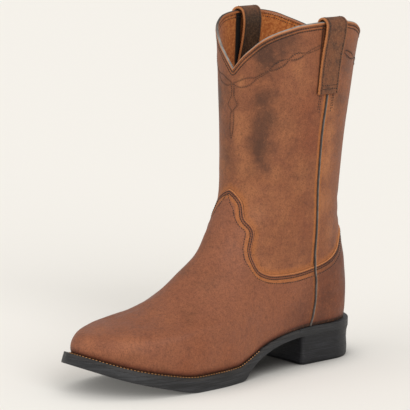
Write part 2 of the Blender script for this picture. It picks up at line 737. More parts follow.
FIBRES = (1500, 3, 0.6)
lining_material = lining_suede()
edge_material = two_tone(
    "raw_edge", FIBRES, (0.3, 0.7), (0.30, 0.105, 0.035), (0.56, 0.235, 0.09), 0.75,
    (FIBRES, 0.00012, 0.5), Specular_IOR_Level=0.25)
bead_material = bead_leather()
collar_material = collar_leather()
strap_material = strap_leather()
dark_thread = thread("dark_brown_thread", (0.012, 0.006, 0.004), (0.035, 0.017, 0.010))
tan_thread = thread("orange_tan_thread", (0.30, 0.12, 0.035), (0.55, 0.26, 0.085))
print("leather, lining, edge, bead, strap and thread are ready")

# %% [markdown]
# ## Rubber and dressed edges
# The sole, heel and welt are black. Their sides were trimmed on a wheel, which leaves fine level lines, and
# then dressed with ink, so they shine softly along the lines.

# %% Black sole materials
DUST_GREY = (0.10, 0.098, 0.095)
STREAK_GAIN = 5.0


def black_rubber(name, colour, line_spacing):
    n = Surface(name)
    level = n.math("ADD", n.level("Z"), n.math("MULTIPLY", n.noise(90, 2, 0.5), 0.0006))
    lines = n.math("SINE", n.math("MULTIPLY", level, 2 * math.pi / line_spacing))
    streak = n.noise(700, 3, 0.6, stretch=(0.05, 0.05, 1.6))
    dust = n.noise(260, 4, 0.7)
    shade = n.tint(
        colour,
        (n.spread(streak, 0.4, 0.75, 0.0, 0.55), tuple(part * STREAK_GAIN for part in colour)),
        (n.spread(dust, 0.55, 0.85, 0.0, 0.25), DUST_GREY))
    normal = n.bumps((lines, 0.00007, 0.6), (streak, 0.00018, 0.6))
    return n.finish(shade, n.spread(streak, 0.3, 0.7, 0.42, 0.6), normal, Specular_IOR_Level=0.3)


sole_material = black_rubber("black_sole_rubber", (0.0125, 0.0125, 0.0135), 0.0011)
heel_material = black_rubber("black_heel_rubber", (0.0068, 0.0068, 0.008), 0.0014)
welt_material = black_rubber("dressed_welt", (0.013, 0.012, 0.012), 0.0011)
footbed_material = two_tone(
    "footbed", (30, 3, 0.6), (0.35, 0.7), (0.40, 0.17, 0.065), (0.24, 0.095, 0.04), 0.7,
    ((900, 3, 0.6), 0.0002, 0.4), Specular_IOR_Level=0.3)

# %% [markdown]
# ## The upper
# The wall of the upper is one closed ring of leather. Its columns stand closer where the vamp's edge is
# steep, and its rows follow that edge, so the cut edge stays crisp. Creases are put in by hand: a crease
# has a place where it starts, a place where it ends, a width and a depth, and it throws up a soft ridge on
# both sides.

# %% Creases, wax and rub, placed by hand
CREASES = table(
    "from_degrees from_height to_degrees to_height width depth",
    (178, 139, 128, 119, 6.0, 0.55), (171, 127, 118, 104, 7.0, 0.5), (182, 139, 232, 121, 6.0, 0.55),
    (189, 128, 243, 106, 7.0, 0.5), (168, 76, 136, 58, 8.0, 0.45), (172, 67, 146, 50, 7.0, 0.4),
    (192, 76, 224, 58, 8.0, 0.45), (188, 67, 214, 50, 7.0, 0.4), (2, 133, 40, 126, 6.0, 0.6),
    (4, 147, 52, 139, 7.0, 0.45), (358, 133, 320, 126, 6.0, 0.6), (356, 147, 308, 139, 7.0, 0.45),
    (150, 166, 112, 158, 9.0, 0.35), (210, 166, 248, 158, 9.0, 0.35))

# Patches as degrees round the boot (the inner side is past 180), height, radius and strength
WAXED = table(
    "degrees height radius strength",
    (147, 272, 12, 0.85), (150, 264, 11, 0.7), (136, 282, 13, 0.5), (126, 288, 14, 0.5), (148, 234, 12, 0.8),
    (144, 221, 13, 0.8), (148, 211, 13, 0.9), (148, 200, 13, 0.85), (146, 186, 12, 0.5), (97, 178, 10, 0.3),
    (60, 195, 13, 0.4), (70, 232, 12, 0.3), (69, 267, 13, 0.5), (146, 82, 16, 0.4), (148, 66, 15, 0.3),
    (130, 22, 9, 0.45), (190, 111, 14, 0.4), (45, 70, 17, 0.4), (46, 56, 15, 0.4), (30, 75, 18, 0.4),
    (189, 241, 13, 0.35), (188, 207, 14, 0.4), (188, 190, 12, 0.35), (42, 86, 10, 0.4), (20, 60, 18, 0.55),
    (10, 85, 16, 0.4), (25, 230, 20, 0.45), (15, 180, 20, 0.35), (30, 262, 16, 0.4), (20, 130, 18, 0.3),
    (212, 230, 18, 0.7), (222, 205, 16, 0.5), (240, 262, 14, 0.6), (262, 190, 20, 0.35), (285, 235, 18, 0.5),
    (318, 200, 20, 0.4), (330, 150, 17, 0.4), (320, 60, 24, 0.6), (205, 92, 16, 0.3), (230, 74, 18, 0.3))
RUBBED = table(
    "degrees height radius strength",
    (171, 249, 5, 0.7), (172, 218, 9, 0.6), (168, 204, 11, 0.65), (163, 190, 11, 0.6), (159, 177, 12, 0.65),
    (152, 156, 12, 0.6), (140, 140, 12, 0.5), (120, 262, 12, 0.35), (112, 240, 14, 0.35), (79, 205, 11, 0.85),
    (79, 178, 11, 0.85), (74, 145, 11, 0.75), (82, 228, 10, 0.75), (76, 190, 9, 0.65), (76, 215, 9, 0.5),
    (67, 144, 11, 0.6), (72, 168, 9, 0.5), (86, 228, 8, 0.4), (106, 136, 14, 0.35), (196, 45, 16, 0.4),
    (160, 62, 16, 0.35), (172, 46, 13, 0.45),
    (178, 53, 14, 0.4), (146, 46, 15, 0.5), (103, 20, 10, 0.4), (155, 33, 10, 0.35), (126, 210, 14, 0.35),
    (131, 170, 14, 0.3), (144, 118, 9, 0.4), (104, 166, 16, 0.3), (121, 112, 12, 0.4), (58, 117, 9, 0.5),
    (88, 24, 9, 0.4), (108, 97, 14, 0.4), (82, 94, 10, 0.35), (196, 180, 16, 0.5), (238, 228, 14, 0.4),
    (250, 150, 15, 0.45), (290, 160, 12, 0.4), (255, 100, 13, 0.35), (300, 105, 12, 0.4), (190, 52, 16, 0.35))
REDDENED = table(
    "degrees height radius strength",
    (98, 201, 17, 0.65), (106, 227, 16, 0.6), (96, 136, 18, 0.4), (84, 121, 10, 0.45), (138, 49, 14, 0.25),
    (86, 66, 22, 0.3), (114, 36, 16, 0.5), (168, 79, 16, 0.25), (45, 62, 22, 1.0), (30, 80, 22, 0.9),
    (120, 24, 12, 0.6), (100, 24, 14, 0.5), (300, 60, 22, 0.5), (262, 210, 18, 0.5), (240, 36, 16, 0.4))


CREASE_POINTS = 9
FADE_AT_SOLE, FADE_AT_COLLAR = 10, 14


def creases(points):
    """Relief in millimetres: troughs along each crease with a soft ridge on both sides."""
    relief = np.zeros(points.shape[:-1])
    share = np.linspace(0, 1, CREASE_POINTS)
    for start, low, end, high, width, depth in zip(*CREASES.values()):
        line = skin(np.radians(start + (end - start) * share), low + (high - low) * share)
        away = np.linalg.norm(points[..., None, :] - line, axis=-1)
        step = np.linalg.norm(np.diff(line, axis=0), axis=1).mean()
        distance = np.sqrt(np.maximum(away.min(-1) ** 2 - (step / 2) ** 2 * 0.3, 0))
        fade = np.sin(np.pi * np.clip((away.argmin(-1) + 0.5) / CREASE_POINTS, 0, 1)) ** 0.7
        unit = distance / width
        relief += depth * fade * (1.35 * unit**2 - 1) * np.exp(-(unit**2) * 1.6)
    return relief


def patches(points, places):
    """How strongly a table's patches cover each point. They are a little longer than wide."""
    total = np.zeros(points.shape[:-1])
    for degrees, height, radius, strength in zip(*places.values()):
        middle = skin(math.radians(degrees), float(height))
        away = np.linalg.norm((points - middle) * (1, 1, 0.75), axis=-1) / radius
        total = np.maximum(total, strength * np.exp(-(away**2)))
    return total


def relief(turn, height):
    """Crease relief of the leather, level near the sole and the collar."""
    low = feather_height(turn)
    high = collar_height(degrees_from_back(turn))
    fade = smooth_step(height - low, 0, FADE_AT_SOLE) * smooth_step(high - height, 0, FADE_AT_COLLAR)
    return creases(skin(turn, height)) * fade


print(len(CREASES["width"]), "creases,", len(WAXED["radius"]), "waxed patches")

# %% [markdown]
# ## Lines of stitching, drawn before the leather is sewn
# Stitch rows run at a set distance inside a cut edge. A row is found by stepping that distance across the
# skin and dropping back on it. The decoration on the shaft is a common western one: a knot in front, two
# braided leaves that climb to each side, and a diamond and a spear below the knot.

# %% Stitch lines


def nearest_on_skin(points, turn, height):
    """The turn and height whose place on the skin is nearest to each point."""
    turn, height = turn.copy(), height.copy()
    small_turn, small_height = 0.004, 0.3
    for _ in range(5):
        miss = points - skin(turn, height)
        round_it = (skin(turn + small_turn, height) - skin(turn - small_turn, height)) / (2 * small_turn)
        up_it = (skin(turn, height + small_height) - skin(turn, height - small_height)) / (2 * small_height)
        a, b, c = (round_it**2).sum(-1), (round_it * up_it).sum(-1), (up_it**2).sum(-1)
        p, q = (round_it * miss).sum(-1), (up_it * miss).sum(-1)
        size = a * c - b * b + 1e-9
        turn += np.clip((p * c - q * b) / size, -0.2, 0.2)
        height += np.clip((q * a - p * b) / size, -6, 6)
    return turn, height


def beside(turn, height, distance):
    """A line on the skin beside another, at a distance below it where it runs with the turn."""
    points = skin(turn, height)
    direction = np.gradient(points, axis=0)
    direction /= np.linalg.norm(direction, axis=1, keepdims=True) + 1e-9
    sideways = np.cross(direction, skin_normal(turn, height))
    distance = np.broadcast_to(distance, turn.shape)[:, None]
    return nearest_on_skin(points + sideways * distance, turn, height)


def closed_line(height_at, count=1600):
    """A cut line all round the boot, from the back over the outer side to the front and home."""
    turn = np.linspace(0, 2 * math.pi, count)
    return turn, height_at(turn)


KEPT_SHARE, KEPT_PLAY = 0.93, 0.25


def row_inside(height_at, distance):
    """A closed row at a distance below a cut line, without the loops that offsets make in corners."""
    turn, height = closed_line(height_at)
    if callable(distance):
        distance = distance(degrees_from_back(turn))
    row_turn, row_height = beside(turn, height, distance)
    row, edge = skin(row_turn, row_height), skin(turn, height)
    keep = distance_to(row, edge) > distance * KEPT_SHARE - KEPT_PLAY
    return row_turn[keep], row_height[keep]


THIRD_ROW = table(
    "degrees distance",
    (0, 7.0), (60, 7.6), (85, 7.2), (105, 6.5), (117, 6.7), (124, 7.6), (131, 7.6), (138, 6.6), (146, 7.0),
    (154, 8.6), (162, 9.0), (170, 6.8), (176, 4.6), (180, 3.8))
[third_row_distance] = curves(THIRD_ROW)

BRAID = table(
    "degrees height half_width",
    (179, 247.5, 0.3), (173, 247.7, 2.6), (165, 249.8, 3.4), (158, 252.6, 1.7), (155.5, 254.0, 0.6),
    (150, 257.2, 0.8), (144, 261.0, 0.4), (139, 264.2, 2.5), (134, 267.2, 2.9), (130, 269.5, 1.4),
    (128, 270.5, 0.3), (124, 272.2, 2.2), (120, 273.8, 2.8), (116, 275.0, 1.2), (114, 275.6, 0.4),
    (106, 278.9, 1.2), (98.5, 281.8, 1.2), (90, 283.4, 1.0))
BACK_BRAID = table(
    "degrees height half_width",
    (74, 274.8, 1.0), (68, 272.2, 2.6), (62, 269.8, 2.9), (56, 267.6, 1.0), (53, 266.6, 0.3),
    (47, 264.4, 2.6), (41, 262.2, 2.9), (35, 260.0, 1.0), (31, 258.8, 0.4), (24, 256.6, 0.8),
    (18, 255.2, 0.5), (12, 254.0, 2.8), (6, 253.0, 2.6), (1, 252.6, 0.3))
DROP = table(
    "height half_width",
    (247.5, 0.3), (245, 1.7), (241, 1.6), (237, 1.5), (233.5, 3.6), (229.4, 6.3), (226.6, 3.2), (224, 0.3),
    (221.5, 2.1), (217, 2.3), (210, 2.0), (204, 1.0), (200.5, 0.1))


RUNG_PITCH, RUNG_SLANT = 1.9, 5
RUNG_WIDTH, RUNG_DEGREES = 1.5, 150


def both_sides(turn, height, half_width):
    return [beside(turn, height, half_width), beside(turn, height, -half_width)]


def braid_lines(places, side):
    """Both lines of a braid and the rungs across its wide leaves, as (turn, height) pairs."""
    share, rows = np.linspace(0, 1, 500), np.linspace(0, 1, len(places["height"]))
    degrees, height, half_width = (curve(rows, column)(share) for column in places.values())
    turn = side * np.radians(degrees)
    lines = both_sides(turn, height, half_width)
    reach = line_reach(skin(turn, height))
    rungs = []
    for place in np.arange(1.0, reach[-1], RUNG_PITCH):
        i = int(np.searchsorted(reach, place))
        j = max(i - RUNG_SLANT, 0)
        if half_width[i] < RUNG_WIDTH or degrees[i] > RUNG_DEGREES:
            continue
        for line in lines:
            rungs.append([np.array([middle[i] * 0.45 + edge[i] * 0.55, edge[j]])
                          for middle, edge in zip((turn, height), line)])
    return lines, rungs


def drop_lines():
    """The diamond and the spear below the knot, on both sides of the middle line of the front."""
    share, rows = np.linspace(0, 1, 300), np.linspace(0, 1, len(DROP["height"]))
    height, half_width = (np.interp(share, rows, column) for column in DROP.values())
    return both_sides(np.full_like(height, math.pi), height, half_width)


# %% Distances from the cut lines
FARTHEST, BATCH = 40.0, 4000
COLUMNS = 320
LINING_RELIEF = 0.6
FOOT_ROWS, SHAFT_ROWS, LINING_ROWS = 100, 112, 46
ROW_TABLE = table(
    "share part",
    (0, 0.0), (0.15, 0.09), (0.31, 0.18), (0.46, 0.25), (0.62, 0.34), (0.77, 0.5), (0.89, 0.72), (1, 1.0))
[row_part] = curves(ROW_TABLE)


def columns(count):
    """Turns round the boot, the same on both sides and closer where the vamp's edge is steep."""
    even = np.linspace(0, 180, count // 2 + 1)
    on_edge = route(VAMP_EDGE, count // 2 + 1)[:, 0]
    half = np.radians((even + on_edge) / 2)
    return np.concatenate([half, 2 * math.pi - half[-2:0:-1]])


def distance_to(points, line):
    """Distance of each point from a line of points, up to FARTHEST."""
    flat = points.reshape(-1, 3)
    away = [np.sqrt(((flat[start:start + BATCH, None, :] - line[None]) ** 2).sum(-1)).min(1)
            for start in range(0, len(flat), BATCH)]
    return np.minimum(np.concatenate(away), FARTHEST).reshape(points.shape[:-1])


pattern_lines, pattern_rungs = list(drop_lines()), []
for side in (1, -1):
    for places in (BRAID, BACK_BRAID):
        lines, rungs = braid_lines(places, side)
        pattern_lines += lines
        pattern_rungs += rungs
print(len(pattern_lines), "pattern lines with", len(pattern_rungs), "rungs")

# %% Build the upper
MATERIALS = (vamp_leather, shaft_leather, lining_material, edge_material)
VAMP, SHAFT_FACE, LINING, CUT_EDGE = range(4)
CREVICE_FOOT = 239.5, 242.0
CREVICE_START, CREVICE_END = (10.6, 6.0), (12.9, 14.6)
COUNTER_DEGREES = 78, 58


def side_seam_distance(height, points):
    """Millimetres from the nearer side seam."""
    away = [np.linalg.norm(points - skin(seam_turn(height, side), height), axis=-1) for side in (1, -1)]
    return np.minimum(*away)


def strap_crevice(turn, height, on_lining):
    """1 in the dark gap in front of each pull strap, wider on the lining, where the strap hangs free."""
    middle = degrees_from_back(seam_turn(height, 1))
    ahead = np.radians(degrees_from_back(turn) - middle) / turn_per_mm(turn, height)
    start, end = (np.array(ends)[on_lining.astype(int)][:, None] for ends in (CREVICE_START, CREVICE_END))
    gap = smooth_step(ahead, start, start + 0.7) * (1 - smooth_step(ahead, end - 0.9, end))
    return gap * smooth_step(height, *CREVICE_FOOT)


def make_upper():
    turn = columns(COLUMNS)
    low = feather_height(turn)
    edge = vamp_edge(turn)
    high = collar_height(degrees_from_back(turn))
    foot = [low + (edge - low) * row_part(share) for share in np.linspace(0, 1, FOOT_ROWS)]
    step = edge + STEP_HEIGHT
    shaft = [step + (high - step) * share for share in np.linspace(0, 1, SHAFT_ROWS)]
    lining = [low + (high - low) * share for share in np.linspace(1, 0, LINING_ROWS)]
    height = np.array(foot + shaft + lining)
    around = np.broadcast_to(turn, height.shape)
    base = skin(around, height)
    normal = skin_normal(around, height)
    level = skin_normal(around, height, level=True)
    count, lining_start = len(height), FOOT_ROWS + SHAFT_ROWS
    row = np.arange(count)
    on_lining = row >= lining_start
    rims = np.isin(row, (0, lining_start - 1, lining_start, count - 1))
    normal[rims] = level[rims]
    offset = np.where(row < FOOT_ROWS, OUTSIDE, -OUTSIDE).astype(float)
    offset[on_lining] = -LINING_DEPTH
    folds = relief(around, height)
    folds[on_lining] *= LINING_RELIEF
    folds[rims] = 0
    points = base + (offset[:, None] + folds)[..., None] * normal
    faces = grid_faces(count, COLUMNS, True)
    face_row = faces[:, 0] // COLUMNS
    kind = np.select(
        [face_row < FOOT_ROWS - 1, face_row < FOOT_ROWS, face_row < lining_start - 1, face_row < count - 1],
        [VAMP, CUT_EDGE, SHAFT_FACE, LINING], CUT_EDGE)
    obj = make_object("upper_leather", to_world(points).reshape(-1, 3), faces, MATERIALS, face_material=kind)
    to_edge = distance_to(base, skin(*closed_line(vamp_edge)))
    for name, values in (
            ("wax", patches(base, WAXED)),
            ("rub", patches(base, RUBBED)),
            ("red", patches(base, REDDENED)),
            ("to_edge", np.where(height <= edge + 0.01, to_edge, -to_edge)),
            ("to_third", distance_to(base, skin(*row_inside(vamp_edge, third_row_distance)))),
            ("to_collar", distance_to(base, skin(*closed_line(collar_edge)))),
            ("to_seam", side_seam_distance(height, base)),
            ("to_floor", height - low),
            ("to_pattern", distance_to(base, np.concatenate([skin(*line) for line in pattern_lines]))),
            ("crevice", strap_crevice(around, height, on_lining)),
            ("heel", smooth_step(degrees_from_back(around), *COUNTER_DEGREES))):
        paint(obj, name, values)
    return seat_piece(obj, "upper_leather", "upper")


make_upper()

# %% [markdown]
# ## Collar bead and side piping
# A thin rolled strip binds the collar, and a piping covers each side seam. Both are swept along lines on
# the skin. Their profiles are round, so that a soft light draws one bright line along each.

# %% Bead and piping
BINDING_WIDTH, BINDING_HEIGHT = 2.8, 2.3
PIPING_WIDTH, PIPING_THICKNESS = 2.2, 0.9
PIPING_DROP_START, PIPING_DROP_END = 2.0, 16.0
STRAP_FOOT = 240.0
BEAD_POINTS, PIPING_POINTS, PIPING_STEPS = 13, 11, 150
DULL_INNER_SIDE, DULL_BACK = (200, 232), (62, 44)


def make_bead():
    turn = columns(COLUMNS)
    base = collar_edge(turn) + CLOSE_GAP
    middle = -(OUTSIDE + LINING_DEPTH) / 2
    angle = np.linspace(0, math.pi, BEAD_POINTS)
    rows = []
    for across, up in zip(np.cos(angle), np.sin(angle)):
        points = offset_skin(turn, base, middle - across * BINDING_WIDTH / 2, level=True)
        points[:, 2] = base + up**0.8 * BINDING_HEIGHT
        rows.append(points)
    bead = loft("collar_bead", np.array(rows).swapaxes(0, 1), collar_material, joined=True, sharp_angle=70)
    paint(bead, "profile", np.tile(2 * angle / math.pi - 1, len(turn)))
    inner_side = smooth_step(np.degrees(turn), *DULL_INNER_SIDE)
    back = smooth_step(degrees_from_back(turn), *DULL_BACK)
    paint(bead, "dulled", np.repeat(np.maximum(inner_side, back), len(angle)))
    return seat_piece(bead, "seam_trim", "collar_binding")


def make_piping(word, side):
    low = feather_height(seam_turn(np.array([HEEL_MIDDLE]), side))[0] + GAP
    height = np.linspace(low, STRAP_FOOT - 1, PIPING_STEPS)
    turn = seam_turn(height, side)
    edge = vamp_edge(turn)
    surface = VAMP_STEP * (0.5 - smooth_step(height, edge + PIPING_DROP_START, edge + PIPING_DROP_END))
    span = turn_per_mm(turn, height) * PIPING_WIDTH / 2
    angle = np.linspace(math.pi, 0, PIPING_POINTS)
    rows = []
    for across, up in zip(np.cos(angle), np.sin(angle)):
        rows.append(offset_skin(turn + across * span, height, surface + GAP + up * PIPING_THICKNESS))
    piping = loft("side_piping_bead_" + word, np.array(rows).swapaxes(0, 1), bead_material, sharp_angle=70)
    paint(piping, "profile", np.tile(-side * np.cos(angle), len(turn)))
    return seat_piece(piping, "seam_trim", "side_piping_" + word)


make_bead()
for side, word in ((1, "outer"), (-1, "inner")):
    make_piping(word, side)

# %% [markdown]
# ## Pull straps
# Each pull strap is a folded strip of leather over the collar. The outer leg lies on the shaft and covers
# the top of the side seam. The inner leg hangs free of the lining, which leaves room for a boot hook.

# %% Straps
STRAP_WIDTH, STRAP_THICKNESS = 23.0, 2.2
STRAP_STEPS, STRAP_SOFT_EDGE = 110, 0.3
STRAP_COLUMNS = np.array((-1, -0.97, -0.85, -0.7, -0.35, 0, 0.35, 0.7, 0.85, 0.97, 1))
STRAP_PATH = table(
    "stand_off height",
    (0.9, 240.0), (0.9, 256.0), (1.6, 270.0), (3.2, 284.0), (4.2, 294.4), (3.4, 301.1), (-1.5, 304.1),
    (-7.3, 302.1), (-9.6, 295.3), (-9.4, 284.0), (-7.2, 270.0), (-4.4, 256.0), (-3.9, 240.0))


def strap_grid(side, steps, acrosses, face):
    """Points of one face of the strap, and the directions out of it."""
    path = route(STRAP_PATH, steps)
    direction = np.gradient(path, axis=0)
    direction /= np.linalg.norm(direction, axis=1, keepdims=True)
    out = np.stack([direction[:, 1], -direction[:, 0]], 1)
    level = np.minimum(path[:, 1], collar_height(90.0))
    turn = seam_turn(level, side)
    span = turn_per_mm(turn, level) * STRAP_WIDTH / 2
    rows = []
    for across in acrosses:
        round_off = STRAP_SOFT_EDGE * (abs(across) > 0.98)
        shifted = path + out * face * (STRAP_THICKNESS / 2 - round_off)
        points = offset_skin(turn + across * span, level, shifted[:, 0], level=True)
        points[:, 2] = shifted[:, 1]
        rows.append(points)
    return np.array(rows)


def make_strap(word, side):
    front = strap_grid(side, STRAP_STEPS, STRAP_COLUMNS, 1)
    back = strap_grid(side, STRAP_STEPS, STRAP_COLUMNS[::-1], -1)
    sections = np.concatenate([front, back]).swapaxes(0, 1)
    strap = loft("pull_strap_leather_" + word, sections, strap_material, sharp_angle=60)
    strap.data.materials.append(edge_material)
    size = sections.shape[1]
    raw = np.isin(np.arange(size), (len(STRAP_COLUMNS) - 1, size - 1))
    index = np.append(np.tile(raw, STRAP_STEPS - 1), [True, True]).astype(np.int32)
    strap.data.polygons.foreach_set("material_index", index)
    across = np.abs(np.concatenate([STRAP_COLUMNS, STRAP_COLUMNS[::-1]]))
    inside = smooth_step(np.linspace(0, 1, STRAP_STEPS), 0.50, 0.60)
    paint(strap, "across", np.tile(across, STRAP_STEPS))
    paint(strap, "inside", np.repeat(inside, size))
    return seat_piece(strap, "strap_leather", "pull_strap_" + word)


for side, word in ((1, "outer"), (-1, "inner")):
    make_strap(word, side)

# %% [markdown]
# ## Stitches
# A boot has several thousand stitches, so one small tree of Geometry Nodes places them all. Each edge of a
# helper mesh is one stitch: the tree turns edges into points, puts a small rounded thread on each, aims it
# along the edge with its flat side on the leather, and makes the copies real. A seed varies their lengths a
# little, as on a real machine.

# %% The stitch tree
STITCH_INPUTS = (
    ("Thread Width", "Float", 0.0007), ("Thread Height", "Float", 0.0004), ("Covered Share", "Float", 0.8),
    ("Seed", "Int", 7), ("Material", "Material", None))
EDGE_FIELDS = (("direction", "FLOAT_VECTOR"), ("up", "FLOAT_VECTOR"), ("reach", "FLOAT"))
SHORTEST, LONGEST = 0.88, 1.1


def stitch_tree():
    tree = bpy.data.node_groups.new("stitches_on_edges", "GeometryNodeTree")
    for way in ("OUTPUT", "INPUT"):
        tree.interface.new_socket("Geometry", in_out=way, socket_type="NodeSocketGeometry")
    for name, kind, default in STITCH_INPUTS:
        socket = tree.interface.new_socket(name, in_out="INPUT", socket_type="NodeSocket" + kind)
        if default is not None:
            socket.default_value = default
    n = Nodes(tree)
    source = tree.nodes.new("NodeGroupInput").outputs
    points = n.add("GeometryNodeMeshToPoints", "Points", {"Mesh": source["Geometry"]}, mode="EDGES")
    direction, up, reach = (
        n.add("GeometryNodeInputNamedAttribute", "Attribute", {"Name": name}, data_type=kind)
        for name, kind in EDGE_FIELDS)
    turn = n.add("FunctionNodeAxesToRotation", "Rotation", {"Primary Axis": direction, "Secondary Axis": up},
                 primary_axis="Z", secondary_axis="X")
    chance = n.add("FunctionNodeRandomValue", 1, {2: SHORTEST, 3: LONGEST, "Seed": source["Seed"]},
                   data_type="FLOAT")
    length = n.math("MULTIPLY", reach, source["Covered Share"], chance)
    size = n.add("ShaderNodeCombineXYZ", "Vector", {
        "X": source["Thread Height"], "Y": source["Thread Width"], "Z": length})
    stitch = n.add("GeometryNodeMeshUVSphere", "Mesh", {"Segments": 7, "Rings": 5, "Radius": 0.5})
    copies = n.add("GeometryNodeInstanceOnPoints", "Instances", {
        "Points": points, "Instance": stitch, "Rotation": turn, "Scale": size})
    real = n.add("GeometryNodeRealizeInstances", "Geometry", {"Geometry": copies})
    coloured = n.add("GeometryNodeSetMaterial", "Geometry", {
        "Geometry": real, "Material": source["Material"]})
    n.link(coloured, tree.nodes.new("NodeGroupOutput").inputs["Geometry"])
    return tree


stitch_nodes = stitch_tree()
print("inputs:", ", ".join(item.name for item in stitch_nodes.interface.items_tree if item.in_out == "INPUT"))

# %% Sewing
THREAD_ABOVE = 0.12


def evenly(points, ups, pitch):
    """A line cut into whole stitches of about the pitch."""
    points, ups = np.asarray(points, float), np.asarray(ups, float)
    reach = line_reach(points)
    x = np.linspace(0, reach[-1], max(int(round(reach[-1] / pitch)), 1) + 1)
    return [np.stack([np.interp(x, reach, values[:, i]) for i in range(3)], -1) for values in (points, ups)]


def stitch_lines(name, rows, pitch):
    """A helper object whose edges are the stitches of all rows, with each edge's direction, up and reach."""
    places, edges, directions, ups, reaches = [], [], [], [], []
    for points, up in rows:
        place, up = evenly(points, up, pitch)
        first = sum(len(part) for part in places)
        step = np.diff(place, axis=0)
        length = np.linalg.norm(step, axis=1)
        places.append(place)
        edges += [(first + i, first + i + 1) for i in range(len(step))]
        directions.append(step / (length[:, None] + 1e-9) * (1, -1, 1))
        ups.append((up[1:] + up[:-1]) / 2 * (1, -1, 1))
        reaches.append(length * MM)
    mesh = bpy.data.meshes.new(name)
    mesh.from_pydata(to_world(np.concatenate(places)).tolist(), edges, [])
    for (field_name, kind), values in zip(EDGE_FIELDS, (directions, ups, reaches)):
        field = mesh.attributes.new(field_name, kind, "EDGE")
        flat = np.concatenate(values).astype(np.float32).reshape(-1)
        field.data.foreach_set("vector" if kind == "FLOAT_VECTOR" else "value", flat)
    return add_object(name, mesh)


def sew(name, rows, slot, material, pitch=2.2, width=0.8, height=0.5, covered=0.7, seed=7):
    """Stitches along rows of (points, ups) in the boot's millimetres."""
    helper = stitch_lines(name + "_lines", rows, pitch)
    modifier = helper.modifiers.new("stitches", "NODES")
    modifier.node_group = stitch_nodes
    values = {"Thread Width": width * MM, "Thread Height": height * MM, "Covered Share": covered,
              "Seed": seed, "Material": material}
    for item in stitch_nodes.interface.items_tree:
        if item.in_out == "INPUT" and item.name in values:
            modifier[item.identifier] = values[item.name]
    graph = bpy.context.evaluated_depsgraph_get()
    sewn = bpy.data.meshes.new_from_object(helper.evaluated_get(graph), depsgraph=graph)
    bpy.data.objects.remove(helper, do_unlink=True)
    sewn.name = name
    sewn.shade_smooth()
    return seat_piece(add_object(name, sewn), slot)


def on_leather(turn, height):
    """Points and ups of a row that lies on the leather's outer face."""
    face = np.where(height <= vamp_edge(turn), OUTSIDE, -OUTSIDE) + relief(turn, height) + THREAD_ABOVE
    return offset_skin(turn, height, face), skin_normal(turn, height)

# %% [markdown]
# Vamp and counter are sewn to the shaft with a close pair of rows at the cut edge, and a third row further
# in that runs up to the peak. The collar has two rows outside, and their undersides show on the lining.

# %% Rows of the vamp edge and the collar
UNDERSIDE = 0.1
vamp_rows = [on_leather(*row_inside(vamp_edge, distance))
             for distance in (ROW_NEAR, ROW_SECOND, third_row_distance)]
sew("vamp_stitches", vamp_rows, "upper_leather", dark_thread)

collar_rows = []
for distance in (COLLAR_ROW_NEAR, COLLAR_ROW_SECOND):
    turn, height = row_inside(collar_edge, distance)
    collar_rows.append(on_leather(turn, height))
    inside = offset_skin(turn, height, -LINING_DEPTH - UNDERSIDE)
    collar_rows.append((inside, -skin_normal(turn, height)))
sew("collar_stitches", collar_rows, "upper_leather", dark_thread)

# %% [markdown]
# The decoration is sewn in the same dark thread, so it shows as fine relief more than as colour.

# %% Decoration on the shaft
sew("pattern_stitches", [on_leather(*line) for line in pattern_lines], "upper_leather", dark_thread,
    pitch=1.9, width=0.5, height=0.4, covered=0.6)
sew("pattern_rungs", [on_leather(*rung) for rung in pattern_rungs], "upper_leather", dark_thread,
    pitch=3.0, width=0.6, height=0.5, covered=1.0)

# %% [markdown]
# Each strap has a row along both edges and two rows across its foot, and short double rows below it hold
# the seam's end.

# %% Rows of the straps
ROW_STEPS = 220
FOOT_ROW_STEPS = (7, 12)
FOOT_THREAD_ABOVE = 0.55
TACK_TOP = 239.0
TACKS = table(
    "offset bottom",
    (-8.6, 226.0), (-6.8, 223.5), (6.8, 223.5), (8.6, 226.0))


def strap_row_lines(side):
    """Rows along both edges of a strap and across its foot, as (points, ups)."""
    faces = strap_grid(side, ROW_STEPS, (-STRAP_ROW, STRAP_ROW), 1)
    ups = np.cross(np.gradient(faces[0], axis=0), faces[1] - faces[0])
    ups /= np.linalg.norm(ups, axis=1, keepdims=True)
    low = np.array([STRAP_FOOT + 5])
    ups *= np.sign((ups[5] * skin_normal(seam_turn(low, side), low)[0]).sum())
    rows = [(line + ups * THREAD_ABOVE, ups) for line in faces]
    between = np.linspace(0, 1, 12)[:, None]
    for i in FOOT_ROW_STEPS:
        line = faces[0][i] * (1 - between) + faces[1][i] * between
        out = skin_normal(seam_turn(line[:, 2], side), line[:, 2])
        rows.append((line + out * FOOT_THREAD_ABOVE, out))
    return rows


def tack_lines(side):
    """The short rows below a strap, which hold the seam's end."""
    for offset, bottom in zip(*TACKS.values()):
        height = np.linspace(TACK_TOP, bottom, 20)
        middle = seam_turn(height, side)
        yield on_leather(middle + offset * turn_per_mm(middle, height), height)


sew("strap_stitches", strap_row_lines(1) + strap_row_lines(-1), "strap_leather", dark_thread,
    pitch=2.3, width=0.7)
sew("tack_stitches", [*tack_lines(1), *tack_lines(-1)], "upper_leather", dark_thread, pitch=2.1, width=0.7)

# %% [markdown]
# The welt is sewn with a thick waxed thread, orange-tan, close to the upper.

# %% Row of the welt
WELT_ROW = 1.5
WELT_ROW_END = 130.0
WELT_THREAD_ABOVE = 0.15


